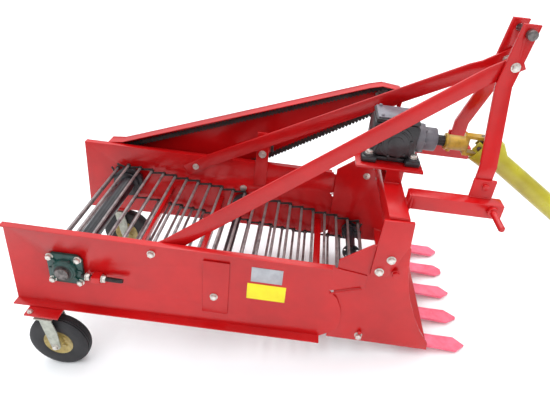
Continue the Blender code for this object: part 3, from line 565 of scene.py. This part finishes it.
# Passivated zinc: grey-green and satin, with faint spangle.
fork_zinc = finish("passivated_zinc", "b2b4a8", "94968b", 0.38, metal=0.5, patch=0.02,
                   grit=0.002, bump=0.1)
WHEEL = (0.147, -0.4555)     # caster axle (x, z)


def spun(profile, centre, name):
    """Spins a closed profile of (along the axle, radius) points round a cross axle."""
    mesh = bpy.data.meshes.new(name)
    points = [(centre[0], centre[1] + d, centre[2] + r) for d, r in profile]
    mesh.from_pydata(points, [(k, (k + 1) % len(points)) for k in range(len(points))], [])
    piece = bpy.data.objects.new(name, mesh)
    bpy.context.collection.objects.link(piece)
    bpy.ops.object.select_all(action='DESELECT')
    bpy.context.view_layer.objects.active = piece
    piece.select_set(True)
    bpy.ops.object.mode_set(mode='EDIT')
    bpy.ops.mesh.select_all(action='SELECT')
    bpy.ops.mesh.spin(steps=72, angle=2 * pi, center=centre, axis=(0, 1, 0))
    bpy.ops.mesh.select_all(action='SELECT')
    bpy.ops.mesh.remove_doubles(threshold=0.00005)
    bpy.ops.mesh.normals_make_consistent(inside=False)
    bpy.ops.object.mode_set(mode='OBJECT')
    bpy.ops.object.shade_smooth_by_angle(angle=radians(38))
    return piece


def mirrored(half):
    """A closed profile from its half on the positive side."""
    return [(-d, r) for d, r in half] + [(d, r) for d, r in reversed(half)]


TYRE = ((0.0100, 0.0465), (0.0180, 0.0505), (0.0215, 0.0530), (0.0232, 0.0580), (0.0246, 0.0660),
        (0.0250, 0.0750), (0.0250, 0.0850), (0.0238, 0.0930), (0.0215, 0.0995), (0.0185, 0.1040),
        (0.0160, 0.1052), (0.0150, 0.1022), (0.0132, 0.1022), (0.0124, 0.1068), (0.0086, 0.1076),
        (0.0078, 0.1040), (0.0060, 0.1040), (0.0052, 0.1079), (0.0012, 0.1080), (0.0006, 0.1046))
RIM = ((0.0280, 0.0095), (0.0280, 0.0150), (0.0265, 0.0165), (0.0210, 0.0175), (0.0130, 0.0200),
       (0.0105, 0.0250), (0.0110, 0.0310), (0.0150, 0.0370), (0.0165, 0.0410), (0.0205, 0.0470),
       (0.0222, 0.0520), (0.0205, 0.0525), (0.0180, 0.0490), (0.0120, 0.0450))
for s, hand in SIDES:
    y = s * 0.342
    hub = (WHEEL[0], y, WHEEL[1])
    tyre = spun(mirrored(TYRE), hub, "tyre")
    settle([tyre], "tyre_" + hand, "wheel_" + hand, "tyre_rubber", rubber, "caster_tyre_" + hand)
    disc = [spun(mirrored(RIM), hub, "rim")]
    for e in (-1, 1):
        for k in range(4):
            a = pi / 4 + pi / 2 * k
            x, z = hub[0] + 0.0275 * cos(a), hub[2] + 0.0275 * sin(a)
            disc.append(bar((x, y + e * 0.009, z), (x, y + e * 0.0155, z), 0.0048, 6, 0.0008))
    valve = (hub[0] - 0.034, y - 0.010, hub[2] + 0.020)
    disc.append(bar(valve, (valve[0] + 0.006, y - 0.024, valve[2] - 0.004), 0.0032, 10, 0.0006))
    settle(disc, "rim_" + hand, "wheel_" + hand, "rim_cream", cream, "caster_rim_" + hand)
    dress("caster_fork_" + hand, fork_zinc, 0.0012)
    axle = []
    for e in (-1, 1):
        axle += hex_bolt((hub[0], y + e * 0.0402, hub[2]), (0, e, 0), 0.0165, 0.0075)
    settle(axle, "axle_nuts_" + hand, "caster_" + hand, "zinc", zinc)

# ---- Driveshaft ----
# A splined input shaft, forged yokes on a cross, and telescoping tubes inside a moulded guard
# with a bell round each joint.
# Yellow paint on forgings, rubbed dull, and glossier greenish-yellow plastic on the guard.
forged = finish("yellow_painted_forging", "c49a2e", "96751e", 0.36, patch=0.02, grit=0.0025,
                bump=0.3)
guard = finish("yellow_moulded_guard", "bdb32a", "a39424", 0.28, patch=0.10, grit=0.003,
               bump=0.06, coat=0.15)
dress("driveshaft_cross", shaft_steel)
dress("driveshaft_end_cross", shaft_steel)
dress("driveshaft_tube", guard, 0.0014)
dress("driveshaft_inner", guard, 0.0014)
dress("driveshaft_end_yoke", forged, 0.0030)
dress("input_yoke", forged, 0.0030)
spline = [bar((1.331, 0, BOX[1]), (1.3598, 0, BOX[1]), 0.0153, 24, 0.0008)]
for k in range(12):
    y, z = 0.0155 * cos(pi / 6 * k), BOX[1] + 0.0155 * sin(pi / 6 * k)
    spline.append(bar((1.3315, y, z), (1.3596, y, z), 0.0016, 6))
settle(spline, "input_spline", "frame", "web_steel", chain_steel)
clamp = hex_bolt((1.378, 0, BOX[1] - 0.0235), (0, 0, -1), 0.013, 0.007)
clamp += [bar((1.3602, 0, BOX[1]), (1.3680, 0, BOX[1]), 0.0268, 32, 0.002)]
settle(clamp, "yoke_collar", "frame", "guard_yellow", forged)
